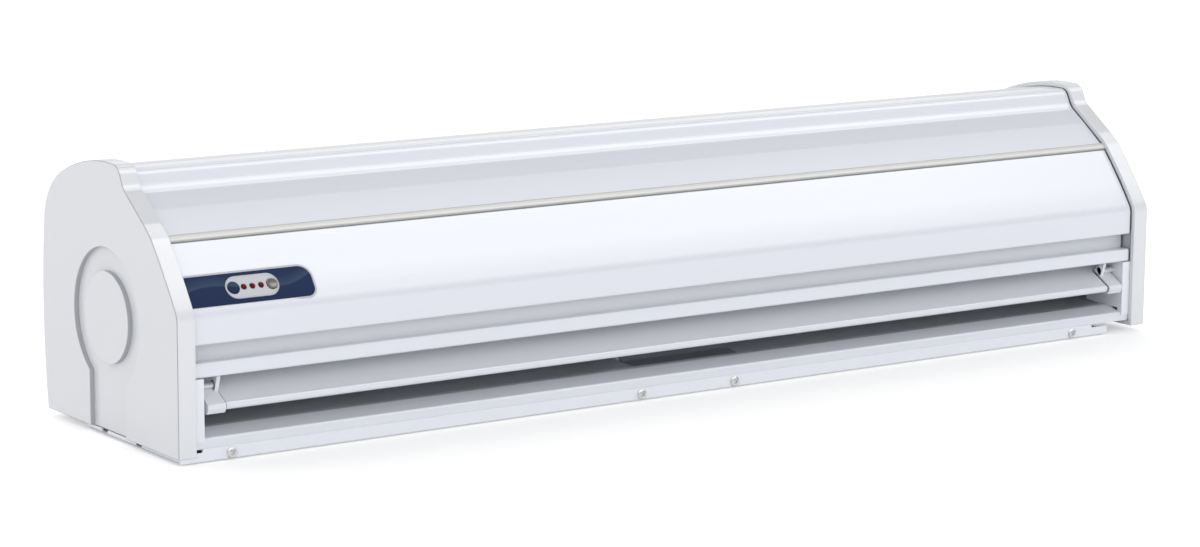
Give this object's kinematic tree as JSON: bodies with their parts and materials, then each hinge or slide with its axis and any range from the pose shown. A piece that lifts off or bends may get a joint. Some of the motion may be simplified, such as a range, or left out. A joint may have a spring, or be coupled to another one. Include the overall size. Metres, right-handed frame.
{
  "type": "air curtain",
  "caption": "Cross-flow air curtain with moulded end caps, a slanted control panel, a tilting air vane over a long outlet, and a wall plate.",
  "frame": {"origin": "centre of the bounding box's underside, on the wall face of the wall plate", "axes": "+X along the unit, from the end with the control panel to the other end; +Y from the outlet side to the intake side; +Z away from the wall"},
  "size_m": [0.9, 0.2054, 0.1966],
  "materials": {
    "cap_white": "glossy moulded white",
    "panel_white": "glossy white enamel",
    "trim_ivory": "satin ivory",
    "duct_white": "white enamel",
    "vane_white": "glossy white",
    "galvanised": "satin",
    "steel": "bright",
    "motor_alloy": "cast",
    "fan_alloy": "satin",
    "iron": "varnished",
    "bronze": "sintered",
    "rubber": "matt",
    "board_green": "solder mask",
    "relay_blue": "matt",
    "black_plastic": "matt",
    "terminal_white": "matt",
    "overlay_navy": "glossy",
    "bezel_silver": "satin silver",
    "window_blue": "dark infrared window",
    "lamp_red": "translucent red",
    "button_silver": "satin silver"
  },
  "bodies": {
    "case": {"wall_plate": "duct_white", "base_pan": "duct_white", "lower_front_panel": "panel_white", "hood": "panel_white", "trim_strip": "trim_ivory", "left_end_cap": "cap_white", "right_end_cap": "cap_white", "intake_grille": "panel_white", "left_side_frame": "galvanised", "right_side_frame": "galvanised", "left_outlet_cheek": "cap_white", "right_outlet_cheek": "cap_white", "left_scroll_casing": "duct_white", "right_scroll_casing": "duct_white", "vortex_tongue": "duct_white", "left_motor_bulkhead": "duct_white", "right_motor_bulkhead": "duct_white", "motor_bay_cover": "duct_white", "motor_bracket": "galvanised", "motor_clamps": "galvanised", "motor_rubber_rings": "rubber", "left_motor_shell": "motor_alloy", "right_motor_shell": "motor_alloy", "motor_stator": "iron", "motor_bearings": "steel", "left_bearing": "bronze", "right_bearing": "bronze", "left_bearing_holder": "rubber", "right_bearing_holder": "rubber", "electrical_box": "galvanised", "electrical_box_lid": "galvanised", "control_board": "board_green", "transformer": "iron", "relays": "relay_blue", "run_capacitor": "black_plastic", "terminal_block": "terminal_white", "motor_lead": "rubber", "cable_gland": "black_plastic", "indicator_board": "board_green", "button_switch": "black_plastic", "control_overlay": "overlay_navy", "indicator_bezel": "bezel_silver", "receiver_window": "window_blue", "indicator_lamps": "lamp_red", "plate_screws": "steel", "case_screws": "steel", "grille_screws": "steel", "motor_screws": "steel"},
    "vane": {"vane_blade": "vane_white", "left_vane_clip": "vane_white", "right_vane_clip": "vane_white", "vane_pivot_pins": "steel"},
    "fan": {"motor_rotor": "iron", "motor_shaft": "steel", "left_impeller": "fan_alloy", "right_impeller": "fan_alloy", "left_stub_shaft": "steel", "right_stub_shaft": "steel", "impeller_set_screws": "steel"},
    "button": {"power_button": "button_silver"}
  },
  "joints": [
    {"name": "vane_tilt", "type": "hinge", "parent": "case", "child": "vane", "pos_m": [0, -0.08669, 0.05], "axis": [1, 0, 0], "range_deg": [-25, 15]},
    {"name": "fan_spin", "type": "hinge", "parent": "case", "child": "fan", "pos_m": [0, 0.00331, 0.086], "axis": [1, 0, 0], "continuous": true},
    {"name": "power_button_press", "type": "slide", "parent": "case", "child": "button", "axis": [0, 0.8196, -0.573], "range_m": [0, 0.001], "stiffness_N_per_m": 400, "springref_m": -0.001}
  ]
}
